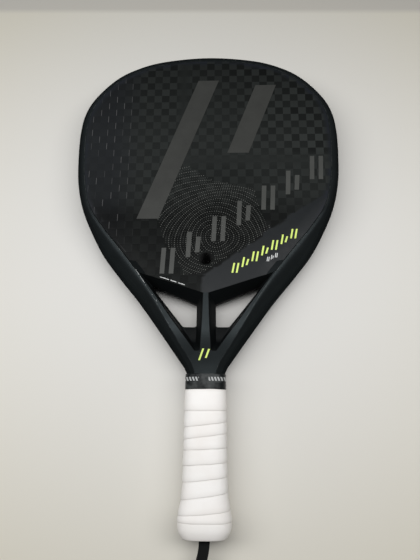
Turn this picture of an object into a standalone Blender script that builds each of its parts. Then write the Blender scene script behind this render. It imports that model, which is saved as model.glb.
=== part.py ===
"""Padel racket: a hollow moulded hairpin frame round a foam core between two carbon faces, a throat
bridge with two openings, a wrapped handle with a flared butt cap, and a wrist strap with a slider.

It lies on its back face. X is the width, +Y runs from the handle to the head's tip, and +Z is the
normal of the front face. The origin is on the floor under the middle of the racket. Metres.
"""

import math

import bmesh
import bpy
from mathutils import Vector

# Driving dimensions, in metres.
LENGTH = 0.455
THICKNESS = 0.038
MID = THICKNESS / 2
GAP = 0.0003

# The right half of the outline at mid-thickness, from the foot of the neck to the head's tip.
NECK = [(0.0153, -0.208), (0.0153, -0.115), (0.0170, -0.107), (0.0170, -0.0962)]
OUTLINE = [
    (0.0192, -0.0915), (0.0410, -0.061), (0.0616, -0.033), (0.0800, -0.0107), (0.0975, 0.012),
    (0.1110, 0.036), (0.1212, 0.060), (0.1268, 0.085), (0.1288, 0.112), (0.1288, 0.138),
    (0.1258, 0.159), (0.1170, 0.178), (0.0990, 0.1988), (0.0785, 0.2125), (0.0480, 0.2228), (0.0, 0.2275),
]
STEPS_PER_SPAN = 2

# Along the outline: (y, width of the outer bevel) and (y, width of the whole tube).
BEVEL_WIDTH = [
    (-0.098, 0.0080), (-0.076, 0.0088), (-0.062, 0.0103), (-0.047, 0.0123), (-0.031, 0.0139), (-0.017, 0.0157),
    (0.0, 0.0163), (0.012, 0.0158), (0.032, 0.0123), (0.047, 0.0096), (0.060, 0.0088), (0.075, 0.0095),
]
TUBE_WIDTH = [
    (-0.115, 0.011), (-0.107, 0.015), (-0.098, 0.0163), (-0.092, 0.0170), (-0.086, 0.0146), (-0.047, 0.0146),
    (-0.034, 0.0154), (-0.017, 0.0176), (0.0, 0.0184), (0.014, 0.0178), (0.050, 0.0140), (0.075, 0.0135),
]
TUBE_WALL = 0.0016

SKIN = 0.0008
SKIN_SEAT = SKIN + GAP
FACE_FOOT_Y = -0.0175
SEAT_FOOT_Y = -0.0200
FACE_CORNER = (0.0590, -0.0083)
FACE_APEX = (0.0027, -0.0264)
CORE_FOOT_Y = -0.008
CORE_APEX_Y = -0.016

HOLE_RADIUS = 0.0055
HOLE_Y = 0.005

PROTECTOR_START_Y = 0.126
PROTECTOR = 0.0011
PROTECTOR_HALF_HEIGHT = 0.0125

# The right throat recess: its rim at the front, its floor's edge, and the opening right through.
RECESS_RIM = [(0.0025, -0.0268), (0.0612, -0.0076), (0.0098, -0.0778), (0.0049, -0.0775)]
RECESS_FLOOR = [(0.0086, -0.0345), (0.0524, -0.0157), (0.0152, -0.0690), (0.0086, -0.0690)]
OPENING = [(0.0086, -0.0345), (0.0516, -0.0164), (0.0210, -0.0549), (0.0086, -0.0549)]
OPENING_CORNERS = [0.0012, 0.0010, 0.0030, 0.0024]
WEB_HALF_THICKNESS = 0.003
BRIDGE_FOOT_Y = -0.097

# The handle: half width and half thickness of the overgrip's outside along Y.
GRIP_PROFILE = [
    (-0.1099, 0.0183, 0.0148), (-0.130, 0.0185, 0.0150), (-0.159, 0.0187, 0.0150), (-0.186, 0.0191, 0.0152),
    (-0.198, 0.0199, 0.0158), (-0.207, 0.0217, 0.0170), (-0.2145, 0.0228, 0.0178), (-0.220, 0.0222, 0.0173),
    (-0.224, 0.0205, 0.0160), (-0.2268, 0.0185, 0.0146),
]
OVERGRIP = 0.0007
BASE_GRIP = 0.0016
GRIP_ROUNDNESS = 3.0
RING_POINTS = 24
TAPE_TOP_Y = -0.0973
TAPE_FOOT_Y = -0.1096
TAPE = 0.0006
TAPE_HALF = (0.0174, 0.0141)
TAPE_ROUNDNESS = 3.4
LEG_END_Y = NECK[0][1]
LEG_HALF_HEIGHT = 0.0095
NECK_HALF_HEIGHT = 0.0132

CAP_TOP_Y = -0.196
CAP_FLOOR_Y = -0.2242
CAP_CAVITY = (0.0156, 0.0121)
STRAP_SLOT = (0.0104, 0.0066)
PIN_RADIUS = 0.0016
PIN_Y = -0.2165

STRAP_WIDTH = 0.0088
STRAP_THICKNESS = 0.002
STRAP_HEADING = math.radians(8)
RUN_HEIGHT = 0.0020
RUN_SPACING = 0.0034
# The strap's route: distance from the butt, offset to the right, height, and degrees turned on edge.
STRAP_OUT = [
    (-0.0125, 0.0, 0.0156, 0), (-0.0065, 0.0, 0.0162, 0), (0.0, 0.0, 0.0173, 0), (0.009, 0.0, 0.0171, 0),
    (0.018, 0.0, 0.0150, 0), (0.027, 0.0, 0.0094, 0), (0.036, 0.0, 0.0040, 0), (0.046, 0.0, RUN_HEIGHT, 0),
    (0.056, 0.0, RUN_HEIGHT, 0), (0.066, 0.0, RUN_HEIGHT, 0), (0.076, 0.0, RUN_HEIGHT, 0),
    (0.086, 0.0, RUN_HEIGHT, 0), (0.096, -0.0014, 0.0029, 22), (0.107, -0.0062, 0.0043, 52),
    (0.120, -0.0140, 0.0048, 80),
]
STRAP_LOOP = [
    (0.136, -0.0230, 0.0047, 90), (0.153, -0.0295, 0.0047, 90), (0.170, -0.0310, 0.0047, 90),
    (0.185, -0.0250, 0.0047, 90), (0.195, -0.0120, 0.0047, 90), (0.1975, 0.0030, 0.0047, 90),
    (0.193, 0.0170, 0.0047, 90), (0.182, 0.0280, 0.0047, 90), (0.167, 0.0325, 0.0047, 90),
    (0.151, 0.0300, 0.0047, 90), (0.135, 0.0230, 0.0047, 90),
]
STRAP_BACK = [
    (0.120, 0.0138, 0.0050, 80), (0.107, 0.0060, 0.0056, 52), (0.096, 0.0014, 0.0055, 22),
    (0.086, 0.0, RUN_HEIGHT + RUN_SPACING, 0), (0.076, 0.0, RUN_HEIGHT + RUN_SPACING, 0),
    (0.066, 0.0, RUN_HEIGHT + RUN_SPACING, 0), (0.056, 0.0, RUN_HEIGHT + RUN_SPACING, 0),
    (0.046, 0.0, RUN_HEIGHT + RUN_SPACING, 0), (0.036, 0.0, 0.0074, 0), (0.027, 0.0, 0.0128, 0),
    (0.018, 0.0, 0.0184, 0), (0.009, 0.0, 0.0205, 0), (0.0, 0.0, 0.0207, 0), (-0.0065, 0.0, 0.0218, 0),
    (-0.0125, 0.0, 0.0224, 0),
]
STRAP_STEPS = 2
SLIDER_AT = 0.0530
SLIDER_LENGTH = 0.012
SLIDER_SIDE = 0.0018
SLIDER_FLOOR = 0.0006
SLIDER_BAR = 0.0008
SLIDER_CORNER = 0.0012

BLACK_PAINT = ((0.017, 0.019, 0.021), 0.45, 0.0)
CARBON = ((0.026, 0.028, 0.028), 0.42, 0.0)
FOAM = ((0.55, 0.55, 0.52), 0.9, 0.0)
DARK_FOAM = ((0.030, 0.030, 0.031), 0.9, 0.0)
BLACK_PLASTIC = ((0.02, 0.02, 0.022), 0.5, 0.0)
WHITE_GRIP = ((0.80, 0.78, 0.76), 0.75, 0.0)
BLACK_GRIP = ((0.03, 0.03, 0.032), 0.8, 0.0)
STEEL = ((0.55, 0.55, 0.56), 0.35, 1.0)
WEBBING = ((0.012, 0.013, 0.013), 0.85, 0.0)


def clear_scene():
    for obj in list(bpy.data.objects):
        bpy.data.objects.remove(obj, do_unlink=True)


def material(name, look):
    colour, roughness, metallic = look
    made = bpy.data.materials.new(name)
    made.use_nodes = True
    shader = made.node_tree.nodes["Principled BSDF"]
    shader.inputs["Base Color"].default_value = (*colour, 1.0)
    shader.inputs["Roughness"].default_value = roughness
    shader.inputs["Metallic"].default_value = metallic
    made.diffuse_color = (*colour, 1.0)
    return made


def make_object(name, points, faces, look=None):
    """An object from points and faces; one with no look is a cutter."""
    mesh = bpy.data.meshes.new(name)
    mesh.from_pydata([tuple(point) for point in points], [], faces)
    shell = bmesh.new()
    shell.from_mesh(mesh)
    bmesh.ops.recalc_face_normals(shell, faces=shell.faces)
    shell.to_mesh(mesh)
    shell.free()
    obj = bpy.data.objects.new(name, mesh)
    bpy.context.scene.collection.objects.link(obj)
    if look is None:
        obj.hide_render = True
        obj.display_type = "WIRE"
        return obj
    mesh.materials.append(material(name, look))
    mesh.shade_smooth()
    mesh.set_sharp_from_angle(angle=math.radians(35))
    return obj


def cut(obj, cutter):
    modifier = obj.modifiers.new(f"cut_{cutter.name}", "BOOLEAN")
    modifier.operation = "DIFFERENCE"
    modifier.solver = "EXACT"
    modifier.object = cutter


def smoothstep(value):
    value = min(max(value, 0.0), 1.0)
    return value * value * (3 - 2 * value)


def along(table, y):
    """Straight interpolation in a table of (y, value) rows."""
    if y <= table[0][0]:
        return table[0][1]
    for (y0, v0), (y1, v1) in zip(table, table[1:]):
        if y <= y1:
            return v0 + (v1 - v0) * (y - y0) / (y1 - y0)
    return table[-1][1]


def spline(points, steps):
    """Points on a smooth curve through all the given ones, any number of numbers in each."""
    vectors = [Vector(point) for point in points]
    ends = [2 * vectors[0] - vectors[1], *vectors, 2 * vectors[-1] - vectors[-2]]
    found = []
    for a, b, c, d in zip(ends, ends[1:], ends[2:], ends[3:]):
        for step in range(steps):
            t = step / steps
            found.append(
                0.5 * (2 * b + t * (c - a) + t * t * (2 * a - 5 * b + 4 * c - d) + t**3 * (3 * (b - c) + d - a))
            )
    found.append(vectors[-1])
    return found


def half_outline():
    """The right half of the outline as (point, inward normal), from the leg's end to the head's tip."""
    mirrored_end = (-OUTLINE[-2][0], OUTLINE[-2][1])
    curve = spline([*OUTLINE, mirrored_end], STEPS_PER_SPAN)[: -STEPS_PER_SPAN]
    points = [Vector(point) for point in NECK] + curve
    found = []
    for i, point in enumerate(points):
        before = points[max(i - 1, 0)]
        after = points[min(i + 1, len(points) - 1)]
        tangent = (after - before).normalized()
        found.append((point, Vector((-tangent.y, tangent.x))))
    found[-1] = (points[-1], Vector((0.0, -1.0)))
    return found


def with_step(stations, y):
    """Adds a pair of stations close together where a seat begins or ends, at this y."""
    found = []
    for (p0, n0), (p1, n1) in zip(stations, stations[1:]):
        found.append((p0, n0))
        if p0.y < y < p1.y:
            for place in (y - GAP / 2, y + GAP / 2):
                t = (place - p0.y) / (p1.y - p0.y)
                found.append((p0.lerp(p1, t), n0.lerp(n1, t).normalized()))
    return [*found, stations[-1]]


def half_height(y):
    """Half the thickness of the frame: full at the throat, less at the neck, least inside the handle."""
    handle = (NECK_HALF_HEIGHT - LEG_HALF_HEIGHT) * smoothstep((y + 0.115) / 0.006)
    throat = (MID - NECK_HALF_HEIGHT) * smoothstep((y + 0.100) / 0.045)
    return LEG_HALF_HEIGHT + handle + throat


def tube_section(y):
    """(inset, height) of the front half of the tube's outside and of its hollow, from rim to inner wall."""
    bevel = along(BEVEL_WIDTH, y)
    width = along(TUBE_WIDTH, y)
    seat = SKIN_SEAT if y > SEAT_FOOT_Y else 0.0
    rebate = PROTECTOR + GAP if y > PROTECTOR_START_Y else 0.0
    inner = width - TUBE_WALL
    outside = [
        (rebate, 0.26 * MID), (0.13 * bevel + rebate, 0.58 * MID), (0.42 * bevel, 0.85 * MID),
        (bevel, MID), (bevel + GAP, MID - seat), (width, MID - seat),
    ]
    roof = MID - seat - TUBE_WALL
    hollow = [
        (rebate + TUBE_WALL, 0.24 * MID), (0.13 * bevel + rebate + TUBE_WALL, 0.52 * MID),
        (0.42 * bevel + 0.7 * TUBE_WALL, 0.85 * MID - TUBE_WALL), (min(bevel, inner - 4 * GAP), roof),
        (min(bevel + GAP, inner - 2 * GAP), roof), (inner, roof),
    ]
    return outside, hollow


def full_section(half):
    return half + [(inset, -height) for inset, height in reversed(half)]


def placed(point, normal, section, side):
    """Section points in space: heights follow the frame's thickness at the place where each point is."""
    ring = []
    for inset, height in section:
        place = point + normal * inset
        ring.append((side * place.x, place.y, MID + height * half_height(place.y) / MID))
    return ring


def ring_faces(first, second, flip):
    n = len(first)
    faces = []
    for i in range(n):
        j = (i + 1) % n
        quad = (first[i], first[j], second[j], second[i])
        faces.append(quad[::-1] if flip else quad)
    return faces


def frame_tube():
    stations = with_step(with_step(half_outline(), SEAT_FOOT_Y), PROTECTOR_START_Y)
    path = [(p, n, 1) for p, n in stations] + [(p, n, -1) for p, n in reversed(stations[:-1])]
    points = []
    rings = []
    for point, normal, side in path:
        pair = []
        for half in tube_section(point.y):
            ring = placed(point, normal, full_section(half), side)
            pair.append(list(range(len(points), len(points) + len(ring))))
            points.extend(ring)
        rings.append(pair)
    faces = []
    for (outside, hollow), (next_outside, next_hollow) in zip(rings, rings[1:]):
        faces += ring_faces(outside, next_outside, False)
        faces += ring_faces(hollow, next_hollow, True)
    faces += ring_faces(rings[0][0], rings[0][1], True)
    faces += ring_faces(rings[-1][0], rings[-1][1], False)
    return make_object("frame_tube", points, faces, BLACK_PAINT)


def prism(name, outline, low, high, look=None):
    """An upright prism over an outline that runs anticlockwise from above."""
    n = len(outline)
    points = [(x, y, low) for x, y in outline] + [(x, y, high) for x, y in outline]
    sides = [(i, (i + 1) % n, n + (i + 1) % n, n + i) for i in range(n)]
    return make_object(name, points, [tuple(range(n))[::-1], tuple(range(n, 2 * n)), *sides], look)


def loft(name, rings, look=None):
    """A closed solid through rings of equal length, capped at both ends."""
    n = len(rings[0])
    points = [point for ring in rings for point in ring]
    faces = [tuple(range(n))[::-1]]
    for k in range(len(rings) - 1):
        first = list(range(k * n, (k + 1) * n))
        second = list(range((k + 1) * n, (k + 2) * n))
        faces += ring_faces(first, second, False)
    faces.append(tuple(range(len(points) - n, len(points))))
    return make_object(name, points, faces, look)


def mirror_outline(right_side):
    """An anticlockwise outline from its right side, listed from the foot up."""
    left = [(-x, y) for x, y in reversed(right_side) if x > 1e-6]
    return [tuple(point) for point in right_side] + left


def inset_side(width_table, extra, foot_y):
    """Points set in from the right half of the outline, above the station at foot_y."""
    found = []
    for point, normal in half_outline():
        if point.y > foot_y:
            found.append(tuple(point + normal * (along(width_table, point.y) + extra)))
    return found


def face_outline(extra=0.0):
    side = inset_side(BEVEL_WIDTH, 2 * GAP - extra, FACE_FOOT_Y + 0.002)
    apex = (FACE_APEX[0], FACE_APEX[1] - extra)
    corner = (FACE_CORNER[0] + extra, FACE_CORNER[1] - extra)
    return mirror_outline([apex, corner, *side])


def hole_cutter():
    ring = []
    for i in range(RING_POINTS):
        turn = 2 * math.pi * i / RING_POINTS
        ring.append((HOLE_RADIUS * math.cos(turn), HOLE_Y + HOLE_RADIUS * math.sin(turn)))
    return prism("cutter_hole", ring, -0.005, THICKNESS + 0.005)


def faces_and_core():
    hole = hole_cutter()
    front = prism("front_face", face_outline(), THICKNESS - SKIN, THICKNESS, CARBON)
    back = prism("back_face", face_outline(), 0.0, SKIN, CARBON)
    side = inset_side(TUBE_WIDTH, GAP, CORE_FOOT_Y)
    outline = mirror_outline([(0.0, CORE_APEX_Y), *side])
    core = prism("eva_core", outline, SKIN_SEAT, THICKNESS - SKIN_SEAT, DARK_FOAM)
    for obj in (front, back, core):
        cut(obj, hole)


def rounded(corners, radii, steps=3):
    """The same corners with an arc of its own radius in each."""
    found = []
    for i, (corner, radius) in enumerate(zip(corners, radii)):
        here = Vector(corner)
        before = (Vector(corners[i - 1]) - here).normalized()
        after = (Vector(corners[(i + 1) % len(corners)]) - here).normalized()
        half_angle = before.angle(after) / 2
        reach = radius / math.tan(half_angle)
        centre = here + (before + after).normalized() * (radius / math.sin(half_angle))
        start = here + before * reach - centre
        end = here + after * reach - centre
        for step in range(steps + 1):
            between = start.lerp(end, step / steps).normalized() * radius
            found.append(tuple(centre + between))
    return found


def anticlockwise(outline):
    area = sum(x0 * y1 - x1 * y0 for (x0, y0), (x1, y1) in zip(outline, outline[1:] + outline[:1]))
    return outline if area > 0 else outline[::-1]


def recess_cutter(name, side, front):
    """Tapers from the recess's rim down to the web."""
    direction = 1 if front else -1
    rim = anticlockwise([(side * x, y) for x, y in RECESS_RIM])
    floor = anticlockwise([(side * x, y) for x, y in RECESS_FLOOR])
    top = [(x, y, MID + direction * (MID + 0.0005)) for x, y in rim]
    bottom = [(x, y, MID + direction * WEB_HALF_THICKNESS) for x, y in floor]
    return loft(name, [bottom, top] if front else [top, bottom])


def neck_wedge_cutter(name, front):
    """Takes the bridge down to the neck's thickness."""
    direction = 1 if front else -1
    rings = []
    for y in (-0.050, -0.058, -0.066, -0.074, -0.082, -0.090, -0.102):
        low = MID + direction * half_height(y)
        high = MID + direction * 0.030
        left, right = -0.04, 0.04
        ring = [(left, y, low), (left, y, high), (right, y, high), (right, y, low)]
        rings.append(ring if front else ring[::-1])
    return loft(name, rings)


def throat_bridge():
    lower = []
    for point, normal in half_outline():
        if BRIDGE_FOOT_Y < point.y < CORE_FOOT_Y:
            lower.append(tuple(point + normal * (along(TUBE_WIDTH, point.y) + GAP)))
    core_side = inset_side(TUBE_WIDTH, GAP, CORE_FOOT_Y)[0]
    rise = (core_side[1] - CORE_APEX_Y) / core_side[0]
    top_corner = (core_side[0] - 0.002, CORE_APEX_Y + rise * (core_side[0] - 0.002) - GAP)
    right = [(0.0, -0.0935), *lower, top_corner]
    outline = mirror_outline(right)
    left_start = len(right)
    outline.insert(left_start, (0.0, CORE_APEX_Y - GAP))
    bridge = prism("throat_bridge", outline, 0.0, THICKNESS, BLACK_PAINT)
    for front in (True, False):
        end = "front" if front else "back"
        low = THICKNESS - SKIN_SEAT if front else -0.002
        high = THICKNESS + 0.002 if front else SKIN_SEAT
        cut(bridge, prism(f"cutter_seat_{end}", face_outline(GAP), low, high))
        cut(bridge, neck_wedge_cutter(f"cutter_neck_{end}", front))
        for side, hand in ((1, "right"), (-1, "left")):
            cut(bridge, recess_cutter(f"cutter_recess_{hand}_{end}", side, front))
    for side, hand in ((1, "right"), (-1, "left")):
        opening = anticlockwise([(side * x, y) for x, y in rounded(OPENING, OPENING_CORNERS)])
        cut(bridge, prism(f"cutter_opening_{hand}", opening, -0.001, THICKNESS + 0.001))


def edge_protector():
    """The bumper let into the rim over the top of the head."""
    bevel = along(BEVEL_WIDTH, PROTECTOR_START_Y)
    top = PROTECTOR_HALF_HEIGHT
    half = [
        (0.0, 0.26 * MID), (0.13 * bevel - 0.0001, 0.57 * MID), (0.0019, top), (0.00265, top),
        (0.13 * bevel + PROTECTOR, 0.58 * MID), (PROTECTOR, 0.26 * MID),
    ]
    section = half + [(inset, -height) for inset, height in reversed(half)]
    stations = [s for s in with_step(half_outline(), PROTECTOR_START_Y) if s[0].y > PROTECTOR_START_Y]
    path = [(p, n, 1) for p, n in stations] + [(p, n, -1) for p, n in reversed(stations[:-1])]
    loft("edge_protector", [placed(p, n, section, side) for p, n, side in path], BLACK_PLASTIC)


def oval(y, half_width, half_thickness, roundness):
    """A ring round the handle at y: a rounded rectangle, anticlockwise seen from the butt."""
    ring = []
    for i in range(RING_POINTS):
        turn = 2 * math.pi * i / RING_POINTS
        c, s = math.cos(turn), math.sin(turn)
        x = math.copysign(abs(c) ** (2 / roundness), c) * half_width
        z = math.copysign(abs(s) ** (2 / roundness), s) * half_thickness
        ring.append((x, y, MID + z))
    return ring[::-1]


def sleeve(name, outer, inner, look):
    """A tube round the handle from two stacks of rings listed from the butt up."""
    n = len(outer[0])
    points = [point for ring in outer + inner for point in ring]
    count = len(outer)
    index = [list(range(k * n, (k + 1) * n)) for k in range(2 * count)]
    faces = []
    for k in range(count - 1):
        faces += ring_faces(index[k], index[k + 1], False)
        faces += ring_faces(index[count + k], index[count + k + 1], True)
    faces += ring_faces(index[0], index[count], True)
    faces += ring_faces(index[count - 1], index[2 * count - 1], False)
    return make_object(name, points, faces, look)


def grip_rings(depth, from_y, to_y):
    """Rings at a depth under the overgrip's outside, from the butt up."""
    rows = [row for row in GRIP_PROFILE if from_y - 1e-6 <= row[0] <= to_y + 1e-6]
    widths = [(y, a) for y, a, _ in reversed(GRIP_PROFILE)]
    heights = [(y, c) for y, _, c in reversed(GRIP_PROFILE)]
    places = sorted({from_y, to_y, *(row[0] for row in rows)})
    return [oval(y, along(widths, y) - depth, along(heights, y) - depth, GRIP_ROUNDNESS) for y in places]


def wrapped_handle():
    butt, top = GRIP_PROFILE[-1][0], GRIP_PROFILE[0][0]
    sleeve("overgrip", grip_rings(0.0, butt, top), grip_rings(OVERGRIP, butt, top), WHITE_GRIP)
    depth = OVERGRIP + GAP
    butt = GRIP_PROFILE[-2][0]
    under_tape_y = -0.1155
    outer = grip_rings(depth, butt, under_tape_y)
    inner = grip_rings(depth + BASE_GRIP, butt, under_tape_y)
    sleeve("base_grip", outer, inner, BLACK_GRIP)
    outer = grip_rings(depth, under_tape_y + GAP, top)
    inner = grip_rings(depth + 0.0005, under_tape_y + GAP, top)
    sleeve("base_grip_tape", outer, inner, BLACK_PLASTIC)
    a, c = TAPE_HALF
    outer = [oval(y, a + TAPE, c + TAPE, TAPE_ROUNDNESS) for y in (TAPE_FOOT_Y, TAPE_TOP_Y)]
    inner = [oval(y, a, c, TAPE_ROUNDNESS) for y in (TAPE_FOOT_Y, TAPE_TOP_Y)]
    sleeve("finishing_tape", outer, inner, BLACK_PLASTIC)


def handle_inside():
    """The foam between the two legs, and a shaped pallet on the front and the back of them."""
    legs_inner = NECK[0][0] - TUBE_WIDTH[0][1] - GAP
    right = [
        (legs_inner, LEG_END_Y), (legs_inner, NECK[1][1]), (0.0016, NECK[2][1]), (0.0004, NECK[3][1] - 0.0030),
    ]
    height = LEG_HALF_HEIGHT - GAP
    prism("handle_core", mirror_outline(right), MID - height, MID + height, FOAM)
    section = [(-0.0118, 0.0), (-0.0105, 0.0008), (-0.0072, 0.0017), (0.0072, 0.0017), (0.0105, 0.0008), (0.0118, 0.0)]
    for name, direction in (("pallet_front", 1), ("pallet_back", -1)):
        rings = []
        for y in (LEG_END_Y, NECK[1][1] - 0.0005):
            base = LEG_HALF_HEIGHT + GAP
            ring = [(x, y, MID + direction * (base + rise)) for x, rise in section]
            rings.append(ring if direction > 0 else ring[::-1])
        loft(name, rings, BLACK_PLASTIC)


def butt_cap():
    depth = OVERGRIP + BASE_GRIP + 2 * GAP
    rings = grip_rings(depth, GRIP_PROFILE[-2][0], CAP_TOP_Y)
    end = oval(-LENGTH / 2, 0.0155, 0.0112, GRIP_ROUNDNESS)
    cap = loft("butt_cap", [end, *rings], BLACK_PLASTIC)
    cavity = [oval(y, *CAP_CAVITY, GRIP_ROUNDNESS) for y in (CAP_FLOOR_Y, CAP_TOP_Y + 0.001)]
    cut(cap, loft("cutter_cap_cavity", cavity))
    width, height = (size / 2 for size in STRAP_SLOT)
    corners = [(-width, -height), (-width, height), (width, height), (width, -height)]
    slot = [[(x, y, MID + z) for x, z in rounded(corners, [0.0015] * 4)] for y in (-0.230, -0.220)]
    cut(cap, loft("cutter_strap_slot", slot))
    pin = []
    reach = CAP_CAVITY[0] - 2 * GAP
    for x in (-reach, reach):
        ring = []
        for i in range(12):
            turn = 2 * math.pi * i / 12
            ring.append((x, PIN_Y + PIN_RADIUS * math.cos(turn), MID + PIN_RADIUS * math.sin(turn)))
        pin.append(ring)
    loft("strap_pin", pin, STEEL)


def strap_place(distance, offset, height):
    """A point of the strap's own frame in space: it leaves the butt turned a little to the left."""
    bent = smoothstep(distance / 0.02) * STRAP_HEADING
    heading = Vector((-math.sin(bent), -math.cos(bent), 0.0))
    right = Vector((heading.y, -heading.x, 0.0)) * -1
    return Vector((0.0, -LENGTH / 2, height)) + heading * distance + right * offset


def wrist_strap():
    """Flat webbing swept along its route, lying flat as it leaves the butt and on edge round the loop."""
    route = spline([*STRAP_OUT, *STRAP_LOOP, *STRAP_BACK], STRAP_STEPS)
    places = [strap_place(*row[:3]) for row in route]
    rings = []
    for i, place in enumerate(places):
        tangent = (places[min(i + 1, len(places) - 1)] - places[max(i - 1, 0)]).normalized()
        edge = math.radians(route[i][3])
        flat = Vector((tangent.y, -tangent.x, 0.0)).normalized()
        outward = flat if i < len(places) / 2 else -flat
        across = (outward * math.cos(edge) + Vector((0, 0, 1)) * math.sin(edge)).normalized()
        across = (across - tangent * across.dot(tangent)).normalized()
        thick = across.cross(tangent).normalized()
        w, t = across * STRAP_WIDTH / 2, thick * STRAP_THICKNESS / 2
        rings.append([place + w + t, place + w - t, place - w - t, place - w + t])
    loft("wrist_strap", rings, WEBBING)


def strap_slider():
    """A two-slot slider on the strap's straight runs. Its origin is at its middle."""
    across = STRAP_WIDTH / 2 + GAP
    half_width = across + SLIDER_SIDE
    slot_height = STRAP_THICKNESS + 2 * GAP
    floor = SLIDER_FLOOR
    lows = [RUN_HEIGHT - slot_height / 2, RUN_HEIGHT + RUN_SPACING - slot_height / 2]
    low = lows[0] - floor
    high = lows[1] + slot_height + SLIDER_BAR
    body = rounded([(half_width, low), (half_width, high), (-half_width, high), (-half_width, low)], [SLIDER_CORNER] * 4)
    half = SLIDER_LENGTH / 2
    rings = [[(x, y, z) for x, z in body] for y in (-half, half)]
    slider = loft("strap_slider", [ring[::-1] for ring in rings], BLACK_PLASTIC)
    for i, z in enumerate(lows):
        slot = [(-across, z), (-across, z + slot_height), (across, z + slot_height), (across, z)]
        cutter = loft(f"cutter_slider_slot_{i}", [[(x, y, h) for x, h in slot] for y in (-0.02, 0.02)])
        cutter.parent = slider
        cut(slider, cutter)
    slider.location = strap_place(SLIDER_AT, 0.0, 0.0)
    slider.rotation_euler = (0.0, 0.0, -STRAP_HEADING)


def build():
    clear_scene()
    frame_tube()
    faces_and_core()
    throat_bridge()
    edge_protector()
    wrapped_handle()
    handle_inside()
    butt_cap()
    wrist_strap()
    strap_slider()


build()
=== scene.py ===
"""Looks of the padel racket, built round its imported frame: fine moulded shells, a woven-carbon face with
generic marks, a spiral-wound grip, a webbing strap, and a pale studio surface."""

import math

import bmesh
import bpy
import numpy as np
from mathutils import Matrix, Vector, noise
from mathutils.geometry import delaunay_2d_cdt


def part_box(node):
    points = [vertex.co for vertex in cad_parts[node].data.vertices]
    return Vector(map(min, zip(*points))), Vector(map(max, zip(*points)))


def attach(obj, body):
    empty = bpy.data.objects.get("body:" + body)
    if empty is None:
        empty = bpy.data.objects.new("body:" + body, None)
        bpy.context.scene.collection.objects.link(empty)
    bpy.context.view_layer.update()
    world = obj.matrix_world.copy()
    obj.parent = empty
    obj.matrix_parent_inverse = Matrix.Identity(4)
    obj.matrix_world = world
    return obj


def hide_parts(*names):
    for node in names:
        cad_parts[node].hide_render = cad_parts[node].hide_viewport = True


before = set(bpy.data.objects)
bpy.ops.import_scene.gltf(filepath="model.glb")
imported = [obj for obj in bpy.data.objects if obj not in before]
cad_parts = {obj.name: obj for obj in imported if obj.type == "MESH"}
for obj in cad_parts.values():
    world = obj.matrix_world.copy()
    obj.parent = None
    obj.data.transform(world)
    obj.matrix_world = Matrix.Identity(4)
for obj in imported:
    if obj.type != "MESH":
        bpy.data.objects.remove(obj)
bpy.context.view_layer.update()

RACKET = "racket"
FACE_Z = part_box("front_face")[1][2]
MID = FACE_Z / 2
SKIN = FACE_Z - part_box("front_face")[0][2]
BUTT_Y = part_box("butt_cap")[0][1]
TIP_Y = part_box("edge_protector")[1][1]

# The outline at mid-thickness, as the frame has it.
NECK = [(0.0153, -0.115), (0.017, -0.107), (0.017, -0.0962)]
OUTLINE = [
    (0.0192, -0.0915), (0.041, -0.061), (0.0616, -0.033), (0.08, -0.0107), (0.0975, 0.012),
    (0.111, 0.036), (0.1212, 0.06), (0.1268, 0.085), (0.1288, 0.112), (0.1288, 0.138),
    (0.1258, 0.159), (0.117, 0.178), (0.099, 0.1988), (0.0785, 0.2125), (0.048, 0.2228),
    (0.0, TIP_Y),
]
OUTLINE_STEPS = 10
BEVEL_WIDTH = [
    (-0.098, 0.008), (-0.076, 0.0088), (-0.062, 0.0103), (-0.047, 0.0123), (-0.031, 0.0139),
    (-0.017, 0.0157), (0.0, 0.0163), (0.012, 0.0158), (0.032, 0.0123), (0.047, 0.0096), (0.06, 0.0088),
    (0.075, 0.0095),
]
# How round the bevel is, how deep the crease beside the arm is, and how wide the face rolls off to it.
ROUNDNESS = [(-0.05, 1.45), (0.02, 1.6), (0.08, 2.3)]
CREASE = [(-0.017, 0.0017), (0.013, 0.0014), (0.042, 0.0009), (0.062, 0.0)]
ROLL_OFF = [(-0.017, 0.0125), (0.005, 0.0125), (0.03, 0.011), (0.05, 0.0085), (0.062, 0.002)]
# Where the face's foot and the end of its roll-off are, and how far the crease is from the bevel.
FACE_FOOT_Y = -0.0172
ROLL_END_Y = 0.075
CREASE_GAP = 0.0008
PROTECTOR_START_Y = 0.126
PROTECTOR_SEAT = 0.0011


def along(table, y):
    """Straight interpolation in a table of (y, value) rows."""
    return float(np.interp(y, [row[0] for row in table], [row[1] for row in table]))


def smoothstep(value):
    value = min(max(value, 0.0), 1.0)
    return value * value * (3 - 2 * value)


def spline(points, steps):
    """Points on a smooth curve through all the given ones, any number of numbers in each."""
    vectors = [Vector(point) for point in points]
    ends = [2 * vectors[0] - vectors[1], *vectors, 2 * vectors[-1] - vectors[-2]]
    found = []
    for a, b, c, d in zip(ends, ends[1:], ends[2:], ends[3:]):
        for step in range(steps):
            t = step / steps
            curve = t * t * (2 * a - 5 * b + 4 * c - d) + t**3 * (3 * (b - c) + d - a)
            found.append(0.5 * (2 * b + t * (c - a) + curve))
    found.append(vectors[-1])
    return found


def half_height(y):
    """Half the thickness of the frame: full at the throat, less at the neck."""
    arms = 0.0058 * (1 - smoothstep((y + 0.1) / 0.045))
    neck = 0.0037 * (1 - smoothstep((y + 0.115) / 0.006))
    return MID - arms - neck


def heading(points, i):
    """The direction along a row of points at one of them."""
    return (points[min(i + 1, len(points) - 1)] - points[max(i - 1, 0)]).normalized()


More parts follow.
